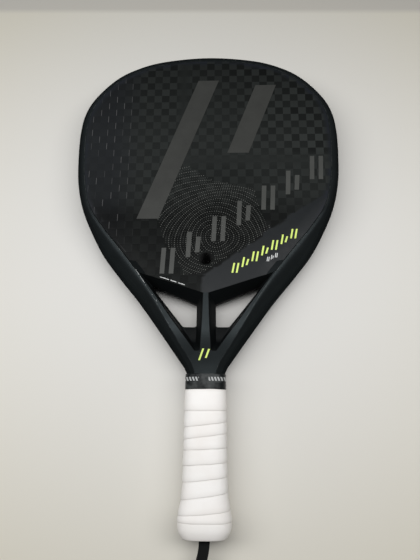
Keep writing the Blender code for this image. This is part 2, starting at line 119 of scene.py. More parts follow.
def half_outline(steps=OUTLINE_STEPS):
    """The right half of the outline as (point, inward normal), from the neck to the head's tip."""
    mirrored_end = (-OUTLINE[-2][0], OUTLINE[-2][1])
    curve = spline([*OUTLINE, mirrored_end], steps)[:-steps]
    points = [Vector(point) for point in NECK] + curve
    found = []
    for i, point in enumerate(points):
        tangent = heading(points, i)
        found.append((point, Vector((-tangent.y, tangent.x))))
    found[-1] = (points[-1], Vector((0.0, -1.0)))
    return found


# ---- meshes

def linked(name, data):
    obj = bpy.data.objects.new(name, data)
    bpy.context.scene.collection.objects.link(obj)
    return obj


def mesh_of(name, points, faces, look):
    mesh = bpy.data.meshes.new(name)
    mesh.from_pydata([tuple(p) for p in points], [], faces)
    mesh.materials.append(look)
    return mesh


def turned_outward(mesh, weld):
    """Turns a mesh's faces outward, after it joins the points that lie together where weld is set."""
    shell = bmesh.new()
    shell.from_mesh(mesh)
    if weld:
        bmesh.ops.remove_doubles(shell, verts=shell.verts, dist=2e-6)
        bmesh.ops.dissolve_degenerate(shell, edges=shell.edges, dist=1e-6)
    bmesh.ops.recalc_face_normals(shell, faces=shell.faces)
    shell.to_mesh(mesh)
    shell.free()


def added(name, mesh, replaces=()):
    """Adds a mesh to the scene as a piece that rides on the racket."""
    obj = linked(name, mesh)
    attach(obj, RACKET)
    if replaces:
        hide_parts(*replaces)
    return obj


def new_object(name, points, faces, look, replaces, sharp):
    """A smooth piece in which edges sharper than this many degrees stay sharp."""
    mesh = mesh_of(name, points, faces, look)
    turned_outward(mesh, True)
    mesh.shade_smooth()
    mesh.set_sharp_from_angle(angle=math.radians(sharp))
    return added(name, mesh, replaces)


def tag(obj, name, kind, points, values):
    """Stores a value for each point a piece was made from, found again after the weld by its place."""

    def key(place):
        return tuple(round(c, 5) for c in place)

    lookup = {key(p): v for p, v in zip(points, values)}
    empty = values[0] if kind == "FLOAT" else (0.0, 0.0, 0.0)
    found = [lookup.get(key(v.co), empty) for v in obj.data.vertices]
    attribute = obj.data.attributes.new(name, kind, "POINT")
    if kind == "FLOAT":
        attribute.data.foreach_set("value", found)
    else:
        attribute.data.foreach_set("vector", [c for vector in found for c in vector])


def ring_faces(first, second):
    n = len(first)
    return [(first[i], first[(i + 1) % n], second[(i + 1) % n], second[i]) for i in range(n)]


def swept(rings, caps=True):
    """Points and faces of a body through rings of equal length."""
    n = len(rings[0])
    points = [point for ring in rings for point in ring]
    faces = []
    for k in range(len(rings) - 1):
        faces += ring_faces(range(k * n, (k + 1) * n), range((k + 1) * n, (k + 2) * n))
    if caps:
        faces.append(tuple(range(n)))
        faces.append(tuple(range(len(points) - n, len(points))))
    return points, faces


def inside(point, loop):
    """Whether a point lies inside a closed loop in the plane."""
    x, y = point
    found = False
    for (x0, y0), (x1, y1) in zip(loop, loop[1:] + loop[:1]):
        if (y0 > y) != (y1 > y) and x < x0 + (y - y0) * (x1 - x0) / (y1 - y0):
            found = not found
    return found


def filled(outer, holes, extra, heights):
    """Triangles over the plane inside outer and outside the holes. heights maps a plane point to z."""
    coords = []
    edges = []
    for loop in (outer, *holes):
        start = len(coords)
        coords += [Vector(p) for p in loop]
        edges += [(start + i, start + (i + 1) % len(loop)) for i in range(len(loop))]
    coords += [Vector(p) for p in extra]
    found, _, triangles, _, _, _ = delaunay_2d_cdt(coords, edges, [], 0, 1e-7)
    faces = []
    for triangle in triangles:
        centre = sum((found[i] for i in triangle), Vector((0, 0))) / len(triangle)
        if inside(centre, outer) and not any(inside(centre, hole) for hole in holes):
            faces.append(tuple(triangle))
    points = [(p.x, p.y, heights((p.x, p.y))) for p in found]
    used = sorted({i for face in faces for i in face})
    place = {old: new for new, old in enumerate(used)}
    return [points[i] for i in used], [tuple(place[i] for i in face) for face in faces]


def joined(*parts):
    points = []
    faces = []
    for more_points, more_faces in parts:
        start = len(points)
        points += list(more_points)
        faces += [tuple(start + i for i in face) for face in more_faces]
    return points, faces


def wall(loop, top, bottom):
    """A wall under a loop in the plane between two height functions."""
    upper = [(x, y, top((x, y))) for x, y in loop]
    lower = [(x, y, bottom((x, y))) for x, y in loop]
    return swept([upper, lower], caps=False)


# ---- materials

class Net:
    """Short calls for building one material's nodes."""

    def __init__(self, name, colour, roughness, **sockets):
        self.material = bpy.data.materials.new(name)
        self.material.use_nodes = True
        self.tree = self.material.node_tree
        self.shader = self.tree.nodes["Principled BSDF"]
        self.shader.inputs["Base Color"].default_value = (*colour, 1)
        self.shader.inputs["Roughness"].default_value = roughness
        for socket, value in sockets.items():
            self.shader.inputs[socket.replace("_", " ")].default_value = value

    def node(self, kind, inputs=(), **settings):
        made = self.tree.nodes.new("ShaderNode" + kind)
        for key, value in settings.items():
            setattr(made, key, value)
        for key, value in dict(inputs).items():
            self.put(value, made.inputs[key])
        return made

    def put(self, value, socket):
        if isinstance(value, bpy.types.NodeSocket):
            self.tree.links.new(value, socket)
        elif isinstance(value, bpy.types.Node):
            self.tree.links.new(value.outputs[0], socket)
        else:
            socket.default_value = value

    def math(self, operation, a, b=0.0):
        made = self.node("Math", operation=operation)
        for socket, value in zip(made.inputs, (a, b)):
            self.put(value, socket)
        return made.outputs[0]

    def add(self, a, b):
        return self.math("ADD", a, b)

    def minus(self, a, b):
        return self.math("SUBTRACT", a, b)

    def times(self, a, b):
        return self.math("MULTIPLY", a, b)

    def place(self):
        """The object coordinates' x, y and z, in metres."""
        split = self.node("SeparateXYZ", {0: self.node("TexCoord").outputs["Object"]})
        return split.outputs[0], split.outputs[1], split.outputs[2]

    def mark(self, name, output="Fac"):
        """A value stored on the mesh by tag()."""
        return self.node("Attribute", attribute_name=name).outputs[output]

    def noise(self, scale, detail=3.0, roughness=0.55):
        inputs = {"Scale": scale, "Detail": detail, "Roughness": roughness}
        made = self.node("TexNoise", inputs)
        self.put(self.node("TexCoord").outputs["Object"], made.inputs["Vector"])
        return made.outputs["Fac"]

    def ramp(self, value, low, high):
        """value taken from low..high to 0..1, and held there beyond."""
        made = self.node("MapRange", {0: value, 1: low, 2: high, 3: 0.0, 4: 1.0}, clamp=True)
        return made.outputs[0]

    def mix(self, factor, first, second):
        made = self.node("Mix", data_type="RGBA")
        self.put(factor, made.inputs[0])
        for socket, value in zip((made.inputs[6], made.inputs[7]), (first, second)):
            self.put((*value, 1) if isinstance(value, tuple) else value, socket)
        return made.outputs[2]

    def bump(self, height, strength, distance):
        made = self.node("Bump", {"Strength": strength, "Distance": distance, "Height": height})
        self.put(made.outputs[0], self.shader.inputs["Normal"])

    def set(self, socket, value):
        self.put(value, self.shader.inputs[socket])


FLOOR = (0.742, 0.734, 0.715)
# The surface's colour where the painted falloff of the light is strongest.
FLOOR_FALLOFF_TINT = (0.742, 0.708, 0.61)
FLOOR_DARK_STRIP = (0.59, 0.566, 0.512)
PAINT_PALE = (0.0105, 0.0125, 0.014)
PAINT_RIM = (0.012, 0.014, 0.0185)
SATIN = (0.0165, 0.0195, 0.0204)
# Colour of the painted highlight along the frame's crests.
CREST_HIGHLIGHT = (0.3, 0.31, 0.3)
GLINT = (0.12, 0.12, 0.12)
TAPE_BLACK = (0.01, 0.012, 0.0126)
CARBON_LIT = (0.0372, 0.0412, 0.0393)
# The carbon's colour under a painted bluish reflection on the face's left part.
CARBON_LEFT_REFLECTION = (0.0366, 0.04, 0.043)
TOW = 0.00751
TOW_PHASE = (-0.0007, 0.0041)
# How far the fibres' sine wave turns across one tow, in radians.
FIBRE_TURN = 74.0


def scaled(colour, factor):
    return tuple(min(1.0, factor * c) for c in colour)


def painted(name, shaded):
    """Satin black paint with scuffs, a painted highlight in pale patches along the crests, and painted shade
    by the face where shaded.
    """
    no_mirror = {"Metallic": 0.5, "Specular_IOR_Level": 0.0, "Specular_Tint": (0.0, 0.0, 0.0, 1.0)}
    net = Net(name, SATIN, 0.36, **no_mirror)
    body = net.mix(net.ramp(net.noise(26.0, 4.0), 0.3, 0.7), SATIN, scaled(SATIN, 1.25))
    if shaded:
        x, y, _ = net.place()
        # Painted shade on the bridge's top by the face's foot, deeper on the left than on the right.
        deep = net.mix(net.ramp(x, -0.01, 0.01), scaled(SATIN, 0.35), scaled(SATIN, 0.65))
        body = net.mix(net.ramp(y, -0.023, -0.015), body, deep)
    # Painted highlight along the crests, in pale patches.
    crest = net.ramp(net.mark("crest"), 0.86, 1.0)
    painted_crest_highlight = net.times(crest, net.ramp(net.noise(180.0, 4.0), 0.42, 0.62))
    net.set("Base Color", net.mix(net.times(painted_crest_highlight, 0.5), body, CREST_HIGHLIGHT))
    scuff = net.noise(240.0, 5.0, roughness=0.7)
    net.set("Roughness", net.add(0.28, net.times(scuff, 0.16)))
    net.bump(net.noise(900.0, 2.0), 0.05, 0.0004)
    return net.material


def recess_painted_shade():
    """Painted shade deep in the throat's recesses: the paint made darker and matt there."""
    net = Net("recess_painted_shade", (0.0035, 0.0045, 0.0048), 0.6, Specular_IOR_Level=0.12)
    net.bump(net.noise(500.0, 3.0), 0.08, 0.0004)
    return net.material


def near_spot(net, x, y, place, reach):
    """One at a place on the face, falling to nothing this far away."""
    across = net.minus(x, place[0])
    up = net.minus(y, place[1])
    square = net.add(net.times(across, across), net.times(up, up))
    return net.ramp(net.math("SQRT", square), reach, 0.3 * reach)


def tow_swing(net, x, y, parity, tone, left_reflection):
    """How much lighter or darker a tow's square is painted than the level round it, as a part of that level:
    a painted sheen that depends on which way the tow runs.
    """
    # Tows that run one way shine over the lower part of the face, the others over its upper right part.
    turned = net.ramp(net.math("MINIMUM", net.minus(y, 0.104), net.add(x, 0.024)), -0.009, 0.009)
    swing = net.minus(net.minus(parity, 0.5), net.times(turned, net.minus(net.times(parity, 2.0), 1.0)))
    strong = net.times(turned, net.ramp(net.add(x, net.times(y, 0.6)), 0.11, 0.17))
    depth = net.add(0.36, net.times(strong, 0.42))
    depth = net.add(depth, net.times(near_spot(net, x, y, (-0.045, 0.2), 0.06), 0.3))
    depth = net.times(depth, net.minus(1.0, net.times(left_reflection, 0.8)))
    depth = net.times(depth, net.add(0.65, net.times(tone, 0.7)))
    return net.times(swing, depth)


def face_level(net, x, y, left_reflection):
    """The broad light over the face: low at its foot, highest above the middle, lower at the top."""
    level = net.add(0.44, net.times(net.ramp(y, 0.046, 0.068), 0.5))
    level = net.add(level, net.times(net.ramp(y, 0.068, 0.115), 0.1))
    level = net.minus(level, net.times(net.ramp(y, 0.13, 0.205), 0.34))
    level = net.minus(level, net.times(left_reflection, 0.14))
    # Painted shade: a dark reflection round a spot in the middle of the face's lower part.
    dim = near_spot(net, x, y, (0.006, 0.04), 0.07)
    level = net.times(level, net.minus(1.0, net.times(dim, 0.4)))
    return net.times(level, net.add(0.94, net.times(net.noise(60.0, 3.0), 0.12)))


def tow_glints(net, x, across, to_side, to_end, parity, tone):
    """Short glints on the tows' upright edges on the left side, at every second square."""
    glint = net.minus(1.0, net.ramp(to_side, 0.015, 0.07))
    glint = net.times(glint, net.minus(1.0, parity))
    glint = net.times(glint, net.times(net.ramp(x, -0.066, -0.08), net.ramp(across, 0.6, 0.4)))
    glint = net.times(glint, net.ramp(tone, 0.15, 0.65))
    return net.times(glint, net.ramp(to_end, 0.0, 0.12))


def painted_panel(net, x, y, tone):
    """Where plain paint covers the weave, and where that paint is the band along the rim."""
    line = net.minus(net.minus(net.times(x, 0.711), 0.0087), y)
    line = net.math("MINIMUM", line, net.add(x, 0.0055))
    ragged = net.times(net.minus(tone, 0.5), 0.004)
    panel = net.ramp(net.add(line, ragged), -0.001, 0.0015)
    rim = net.minus(1.0, net.ramp(net.add(net.mark("band"), ragged), 0.0095, 0.015))
    return net.math("MAXIMUM", panel, rim), rim


def woven_carbon():
    """Wide flat tows over and under one another, under plain paint below a slanting line and at the rim."""
    net = Net("carbon_weave", CARBON_LIT, 0.4, Specular_IOR_Level=0.1)
    x, y, _ = net.place()
    u = net.math("DIVIDE", net.minus(x, TOW_PHASE[0]), TOW)
    v = net.math("DIVIDE", net.minus(y, TOW_PHASE[1]), TOW)
    column = net.math("FLOOR", u)
    row = net.math("FLOOR", v)
    parity = net.math("PINGPONG", net.add(column, row), 1.0)
    cell = net.node("CombineXYZ", {0: column, 1: row, 2: 0.0}).outputs[0]
    tone = net.node("TexWhiteNoise", {"Vector": cell}, noise_dimensions="3D").outputs["Value"]
    # Painted bluish reflection over the face's left part, which also lowers the weave's contrast and level
    # there.
    left_reflection = net.ramp(x, -0.062, -0.09)
    swing = tow_swing(net, x, y, parity, tone, left_reflection)
    # Painted light: the broad light over the face and each tow's painted sheen scale the carbon's colour.
    shade = net.times(face_level(net, x, y, left_reflection), net.add(1.0, swing))
    body = net.mix(left_reflection, CARBON_LIT, CARBON_LEFT_REFLECTION)
    weave = net.mix(net.times(shade, 0.5), (0.0, 0.0, 0.0), body)
    fu = net.math("FRACT", u)
    fv = net.math("FRACT", v)
    edge_u = net.math("MINIMUM", fu, net.minus(1.0, fu))
    edge_v = net.math("MINIMUM", fv, net.minus(1.0, fv))
    weave = net.mix(tow_glints(net, x, fu, edge_u, edge_v, parity, tone), weave, GLINT)
    panel, rim = painted_panel(net, x, y, tone)
    net.set("Base Color", net.mix(panel, weave, net.mix(rim, PAINT_PALE, PAINT_RIM)))
    net.set("Specular IOR Level", net.add(0.05, net.times(panel, 0.12)))
    rough = net.add(0.36, net.times(net.noise(200.0, 4.0), 0.12))
    net.set("Roughness", net.add(rough, net.times(parity, 0.03)))
    # Fibres run along each tow, so the way they run turns from square to square.
    fibre_a = net.times(net.math("SINE", net.times(v, FIBRE_TURN)), parity)
    fibre_b = net.times(net.math("SINE", net.times(u, FIBRE_TURN)), net.minus(1.0, parity))
    edge = net.ramp(net.math("MINIMUM", edge_u, edge_v), 0.0, 0.13)
    relief = net.add(edge, net.times(net.add(fibre_a, fibre_b), 0.12))
    net.bump(net.times(relief, net.minus(1.0, panel)), 0.22, 0.0002)
    return net.material


def plain(name, colour, roughness, grain=0.0, scale=600.0, **sockets):
    """A plain material with a little cloud in its colour and, where asked, a grain."""
    net = Net(name, colour, roughness, **sockets)
    cloud = net.ramp(net.noise(60.0, 4.0), 0.3, 0.7)
    net.set("Base Color", net.mix(cloud, scaled(colour, 0.9), scaled(colour, 1.1)))
    if grain:
        net.bump(net.noise(scale, 3.0), grain, 0.0005)
    return net.material


def grip_wrap():
    """Tacky coated wrap: faint creases, with painted shadow along its seams."""
    net = Net("grip_wrap", (0.91, 0.89, 0.86), 0.62, Specular_IOR_Level=0.35)
    cloud = net.ramp(net.noise(45.0, 5.0), 0.35, 0.75)
    _, y, _ = net.place()
    body = net.mix(cloud, (0.935, 0.915, 0.89), (0.885, 0.85, 0.815))
    body = net.mix(net.times(net.ramp(y, -0.2, -0.32), 0.5), body, (0.865, 0.83, 0.76))
    # Painted shadow along the seams, where each turn's edge lies over the one below.
    net.set("Base Color", net.mix(net.times(net.mark("seam"), 0.35), body, (0.55, 0.51, 0.47)))
    creases = net.noise(160.0, 5.0, roughness=0.65)
    net.bump(net.add(creases, net.times(net.noise(1500.0, 2.0), 0.3)), 0.16, 0.0009)
    return net.material


STITCH = 0.0011


def webbing():
    """Woven strap: rows of small slanting stitches along it."""
    net = Net("strap_webbing", (0.006, 0.007, 0.0068), 0.8, Specular_IOR_Level=0.2)
    split = net.node("SeparateXYZ", {0: net.mark("route", "Vector")})
    s, w = split.outputs[0], split.outputs[1]
    turn = 2 * math.pi / STITCH
    a = net.math("SINE", net.times(net.add(s, w), turn))
    b = net.math("SINE", net.times(net.minus(s, w), turn))
    weave = net.times(a, b)
    tone = net.ramp(weave, -0.6, 0.9)
    net.set("Base Color", net.mix(tone, (0.0035, 0.0042, 0.0042), (0.012, 0.0132, 0.0128)))
    net.bump(weave, 0.5, 0.0004)
    return net.material


# The row of bars on the tape, with a gap between its left and right parts.
BARS_Y = -0.1016
BARS_HALF_HEIGHT = 0.0016
BARS_PITCH = 0.0027
BARS_GAP_X = -0.0012
BARS_GAP_HALF = 0.0042


def tape_material():
    """Glossy dark tape with a row of generic pale bars."""
    net = Net("tape_vinyl", TAPE_BLACK, 0.3, Specular_IOR_Level=0.1)
    x, y, z = net.place()
    middle = net.minus(y, BARS_Y)
    band = net.math("LESS_THAN", net.math("ABSOLUTE", middle), BARS_HALF_HEIGHT)
    slant = net.add(x, net.times(middle, 0.35))
    bars = net.math("LESS_THAN", net.math("FRACT", net.math("DIVIDE", slant, BARS_PITCH)), 0.55)
    beyond = net.math("GREATER_THAN", net.math("ABSOLUTE", net.minus(x, BARS_GAP_X)), BARS_GAP_HALF)
    front = net.math("GREATER_THAN", z, MID)
    shown = net.times(net.times(band, bars), net.times(beyond, front))
    cloudy = net.mix(net.ramp(net.noise(95.0, 2.0), 0.5, 0.62), TAPE_BLACK, (0.04, 0.044, 0.044))
    net.set("Base Color", net.mix(shown, cloudy, (0.42, 0.43, 0.43)))
    net.bump(net.noise(210.0, 3.0), 0.5, 0.0012)
    return net.material


# ---- camera, surface and light

VIEW_TILT = math.radians(15.73)
VIEW_YAW = math.radians(1.776)
VIEW_ROLL = math.radians(-0.087)
VIEW_PLACE = Vector((0.017, -0.1316, 0.4508))
VIEW_LENS = 30.885
WORLD_COLOUR = (0.97, 0.98, 1.0, 1)
WORLD_STRENGTH = 0.057
FLOOR_HALF = 3.0
# Name, place, aim, size, power and colour of each light.
LIGHTS = [
    ("key", (-0.07, 0.0, 0.62), (-0.07, 0.0, 0), (1.4, 0.2), 6.05, (1, 1, 1)),
    ("window", (-0.42, 0.62, 0.6), (-0.05, 0.1, 0), (0.5, 0.4), 0.35, (0.8, 0.9, 1.0)),
]


def camera():
    data = bpy.data.cameras.new("camera")
    data.sensor_fit = "VERTICAL"
    data.sensor_height = 36.0
    data.lens = VIEW_LENS
    data.clip_start = 0.01
    obj = linked("camera", data)
    turn = Matrix.Rotation(VIEW_TILT, 4, "X") @ Matrix.Rotation(VIEW_YAW, 4, "Y")
    obj.matrix_world = Matrix.Translation(VIEW_PLACE) @ turn @ Matrix.Rotation(VIEW_ROLL, 4, "Z")
    bpy.context.scene.camera = obj


def area_light(name, place, aim, size, power, colour):
    data = bpy.data.lights.new(name, "AREA")
    data.shape = "RECTANGLE"
    data.size, data.size_y = size
    data.energy = power
    data.color = colour
    obj = linked(name, data)
    obj.location = place
    obj.rotation_euler = (Vector(aim) - Vector(place)).to_track_quat("-Z", "Y").to_euler()


def floor_look():
    """A pale surface with a painted warm falloff away from the racket, and one slightly darker strip beyond
    its top.
    """
    net = Net("surface", FLOOR, 0.7, Specular_IOR_Level=0.2)
    x, y, _ = net.place()
    cloud = net.ramp(net.noise(3.0, 3.0), 0.3, 0.7)
    tone = net.mix(cloud, scaled(FLOOR, 1.015), scaled(FLOOR, 0.985))
    reach = net.add(net.times(x, x), net.math("POWER", net.minus(y, 0.05), 2.0))
    # Painted falloff of the light: the surface turns warmer away from the racket.
    tone = net.mix(net.ramp(reach, 0.0, 0.12), tone, FLOOR_FALLOFF_TINT)
    # A slightly darker strip beyond the top.
    beyond = net.add(y, net.times(x, 0.0233))
    dark_strip = net.minus(net.ramp(beyond, 0.315, 0.322), net.ramp(beyond, 0.35, 0.357))
    net.set("Base Color", net.mix(dark_strip, tone, FLOOR_DARK_STRIP))
    return net.material


def surroundings():
    scene = bpy.context.scene
    scene.view_settings.view_transform = "Standard"
    world = bpy.data.worlds.new("studio")
    world.use_nodes = True
    background = world.node_tree.nodes["Background"]
    background.inputs[0].default_value = WORLD_COLOUR
    background.inputs[1].default_value = WORLD_STRENGTH
    scene.world = world
    corners = [(x * FLOOR_HALF, y * FLOOR_HALF, 0) for x, y in ((-1, -1), (1, -1), (1, 1), (-1, 1))]
    floor = linked("surface", mesh_of("surface", corners, [(0, 1, 2, 3)], floor_look()))
    for light in LIGHTS:
        area_light(*light)


# ---- the moulded frame

QUARTER = 14
# How high above mid-thickness the bumper's flank and its seat in the frame end.
PROTECTOR_TOP = 0.0124
SEAT_TOP = 0.0128
PROTECTOR_WALL = 0.0012


def frame_rows(y):
    """(inset, height) down the front half of the frame's section, from the rim to its hidden inner side."""
    bevel = along(BEVEL_WIDTH, y)
    power = 2 / along(ROUNDNESS, y)
    crease = along(CREASE, y) if y > FACE_FOOT_Y else 0.0
    rows = []
    for i in range(QUARTER + 1):
        turn = math.pi / 2 * i / QUARTER
        rows.append((bevel * (1 - math.cos(turn) ** power), MID * math.sin(turn) ** power))
    rows += [
        (bevel + 0.0005, MID - 0.5 * crease - 0.000008), (bevel + 0.0009, MID - crease - 0.000016),
        (bevel + 0.0012, MID - crease - 0.0012), (bevel + 0.0022, 0.5 * MID),
    ]
    return rows


def placed(point, normal, rows, side):
    """Section rows in space, with heights that follow the frame's thickness where each point is."""
    full = rows + [(inset, -height) for inset, height in reversed(rows)]
    ring = []
    for inset, height in full:
        place = point + normal * inset
        ring.append((side * place.x, place.y, MID + height * half_height(place.y) / MID))
    return ring


def both_sides(stations):
    return [(p, n, 1) for p, n in stations] + [(p, n, -1) for p, n in reversed(stations[:-1])]


def frame_shell(look):
    """The frame's moulded outside, let in where the bumper sits."""
    rings = []
    for point, normal, side in both_sides(half_outline()):
        rows = frame_rows(point.y)
        if point.y > PROTECTOR_START_Y:
            rows = [(max(i, PROTECTOR_SEAT) if height < SEAT_TOP else i, height) for i, height in rows]
        rings.append(placed(point, normal, rows, side))
    points, faces = swept(rings)
    shell = new_object("frame_shell", points, faces, look, ["frame_tube"], 38)
    half = len(rings[0]) // 2
    crests = (QUARTER, 2 * half - 1 - QUARTER)
    marks = [1.0 if i in crests else 0.0 for _ in rings for i in range(2 * half)]
    tag(shell, "crest", "FLOAT", points, marks)


def protector(look):
    """The bumper over the top of the head, a hair proud of the rim it is let into."""
    rings = []
    stations = [s for s in half_outline() if s[0].y > PROTECTOR_START_Y]
    for point, normal, side in both_sides(stations):
        outer = [row for row in frame_rows(point.y) if row[1] < PROTECTOR_TOP]
        last_inset, last_height = outer[-1]
        lip = [(last_inset + 0.0001, last_height + 0.0003), (last_inset + 0.0006, last_height + 0.0003)]
        inner = [(inset + PROTECTOR_WALL, height) for inset, height in reversed(outer)]
        rings.append(placed(point, normal, outer + lip + inner, side))
    points, faces = swept(rings)
    new_object("rim_protector", points, faces, look, ["edge_protector"], 38)


# ---- throat bridge

RECESS_RIM = [(0.0025, -0.0268), (0.0606, -0.0078), (0.0094, -0.0778), (0.0049, -0.0775)]
RECESS_FLOOR = [(0.0086, -0.0345), (0.052, -0.016), (0.0124, -0.069), (0.009, -0.069)]
OPENING = [(0.0086, -0.0345), (0.0516, -0.0164), (0.021, -0.0549), (0.0086, -0.0549)]
# The recess floor's height above mid-thickness, and that of the foot of the slope down to it.
FLOOR_HEIGHT = 0.0034
LEDGE_TOP = FLOOR_HEIGHT + 0.0004


def rounded_loop(corners, radii, per_side=14, per_arc=6):
    """A closed loop with an arc in each corner and the same number of points whatever the corners."""
    arcs = []
    for i, corner in enumerate(corners):
        here = Vector(corner)
        before = (Vector(corners[i - 1]) - here).normalized()
        after = (Vector(corners[(i + 1) % len(corners)]) - here).normalized()
        half_angle = before.angle(after) / 2
        reach = radii[i] / math.tan(half_angle)
        centre = here + (before + after).normalized() * (radii[i] / math.sin(half_angle))
        start = here + before * reach - centre
        end = here + after * reach - centre
        arc = [centre + start.lerp(end, k / per_arc).normalized() * radii[i] for k in range(per_arc + 1)]
        arcs.append(arc)
    loop = []
    for arc, following in zip(arcs, arcs[1:] + arcs[:1]):
        loop += arc
        loop += [arc[-1].lerp(following[0], k / per_side) for k in range(1, per_side)]
    return loop


def tunnel(side):
    """Rings of the right or left throat opening, from its rim in front to its rim behind."""
    rim = rounded_loop(RECESS_RIM, [0.0014, 0.0005, 0.0012, 0.0014])
    floor = rounded_loop(RECESS_FLOOR, [0.0016, 0.0008, 0.0009, 0.0009])
    opening = rounded_loop(OPENING, [0.0012, 0.0008, 0.003, 0.0024])
    under_face = range(3, len(rim) // 4 + 3)
    rows = []
    for i, (r, f, o) in enumerate(zip(rim, floor, opening)):
        out = (r - f).normalized()
        ledge = f - o if (f - o).length > 0.0015 else r - f
        ledge = ledge.normalized()
        sunk = SKIN - 0.00002 if i in under_face else 0.0
        # Each row is a place, then how much of the half thickness its height starts from, then the rest of
        # the height. With None, the last number is how far it has come down the slope instead.
        column = [
            (r + out * 0.0007, 1.0, -sunk - 0.00002), (r + out * 0.00025, 1.0, -sunk - 0.00012),
            (r, 1.0, -sunk - 0.00045), (r.lerp(f, 0.12), None, 0.12), (r.lerp(f, 0.45), None, 0.45),
            (r.lerp(f, 0.8), None, 0.8), (r.lerp(f, 0.95), None, 0.955), (f.lerp(o, 0.02), 0.0, LEDGE_TOP),
            (f.lerp(o, 0.3), 0.0, FLOOR_HEIGHT), (o + ledge * 0.0012, 0.0, FLOOR_HEIGHT),
            (o + ledge * 0.0003, 0.0, FLOOR_HEIGHT - 0.0005), (o, 0.0, FLOOR_HEIGHT - 0.0016), (o, 0.0, 0.0),
        ]
        resolved = []
        for place, part, value in column:
            half = half_height(place.y)
            if part is None:
                height = half - sunk + (LEDGE_TOP - half + sunk) * value
            else:
                height = half * part + value
            resolved.append((side * place.x, place.y, height))
        rows.append(resolved)
    depth = len(rows[0])
    front = [[(x, y, MID + z) for x, y, z in (row[k] for row in rows)] for k in range(depth)]
    back = [[(x, y, MID - z) for x, y, z in (row[k] for row in rows)] for k in reversed(range(depth - 1))]
    return front + back


def bridge_outline():
    """The edge of the bridge's flat top: up the right arm's bevel, across under the face, and down again."""
    side = []
    for point, normal in half_outline():
        if -0.0945 < point.y < -0.004:
            side.append(tuple(point + normal * (along(BEVEL_WIDTH, point.y) + 0.0004)))
    side = [p for p in side if p[0] > 0.0 and p[1] > -0.0975]
    right = [(0.0, -0.099), (0.008, -0.099), *side, (0.03, -0.004)]
    return right + [(0.0, -0.015)] + [(-x, y) for x, y in reversed(right) if x > 1e-6]


def throat_bridge(look, recess_shade_look):
    """The bridge's front and back with its two recesses. Above the recesses it lies just under the skins."""
    tunnels = [tunnel(1), tunnel(-1)]
    holes = [[(x, y) for x, y, _ in rings[0]] for rings in tunnels]
    outer = bridge_outline()
    (x0, y0), (x1, y1) = RECESS_RIM[:2]
    rim_heights = {(round(x, 7), round(y, 7)): z for rings in tunnels for x, y, z in rings[0]}

    def edge_y(x):
        return y0 + (y1 - y0) / (x1 - x0) * max(abs(x) - x0, 0.0)

    def height(p):
        key = (round(p[0], 7), round(p[1], 7))
        if key in rim_heights:
            return rim_heights[key]
        sunk = SKIN if p[1] > edge_y(p[0]) + 0.00045 else 0.0
        return MID + half_height(p[1]) - sunk - 0.00002

    def height_back(p):
        return 2 * MID - height(p)

    extra = []
    for x in (-0.0014, -0.0005, 0.0005, 0.0014):
        extra += [(x, edge_y(x) + 0.0003), (x, edge_y(x) + 0.0006)]
    extra += [(0.0, -0.0985 + 0.003 * k) for k in range(1, 24)]
    top = filled(outer, holes, extra, height)
    back = filled(outer, holes, extra, height_back)
    points, faces = joined(top, back, wall(outer, height, height_back))
    new_object("bridge_shell", points, faces, look, ["throat_bridge"], 42)
    points, faces = joined(*[swept(rings, caps=False) for rings in tunnels])
    new_object("throat_recesses", points, faces, recess_shade_look, ["throat_bridge"], 42)


# ---- faces

HOLE = (0.0, 0.005, 0.0055)
HOLE_SIDES = 48


def nearest(place, stations):
    """How far in from the outline a point is, and the height along it of the nearest point there."""
    x, y = abs(place[0]), place[1]
    best = (1.0, 0.0)
    for (a, _), (b, _) in zip(stations, stations[1:]):
        span = b - a
        t = min(max((Vector((x, y)) - a).dot(span) / span.length_squared, 0.0), 1.0)
        foot = a + span * t
        best = min(best, ((Vector((x, y)) - foot).length, foot.y))
    return best


def roll_off(place, stations):
    """How far the face's edge band has fallen at a point of the plane."""
    inset, foot_y = nearest(place, stations)
    part = (inset - along(BEVEL_WIDTH, foot_y) - CREASE_GAP) / along(ROLL_OFF, foot_y)
    return along(CREASE, foot_y) * (1 - min(max(part, 0.0), 1.0)) ** 1.6


def face_outline():
    """The face's edge, and points across the band beside it where the face rolls off."""
    ridge = []
    band = []
    for point, normal in half_outline(14):
        if point.y < FACE_FOOT_Y:
            continue
        bevel = along(BEVEL_WIDTH, point.y) + CREASE_GAP
        ridge.append(tuple(point + normal * bevel))
        if point.y < ROLL_END_Y:
            for step in range(1, 12):
                x, y = point + normal * (bevel + along(ROLL_OFF, point.y) * step / 11)
                band += [(x, y), (-x, y)]
    apex, tip = Vector(RECESS_RIM[0]), Vector(RECESS_RIM[1])
    low = [tuple(apex.lerp(tip, k / 24)) for k in range(25)]
    right = low + [p for p in ridge if p[1] > tip.y + 0.0006]
    return right + [(-x, y) for x, y in reversed(right)], band


def hole_ring(radius):
    x, y, _ = HOLE
    turns = [2 * math.pi * i / HOLE_SIDES for i in range(HOLE_SIDES)]
    return [(x + radius * math.cos(a), y + radius * math.sin(a)) for a in turns]


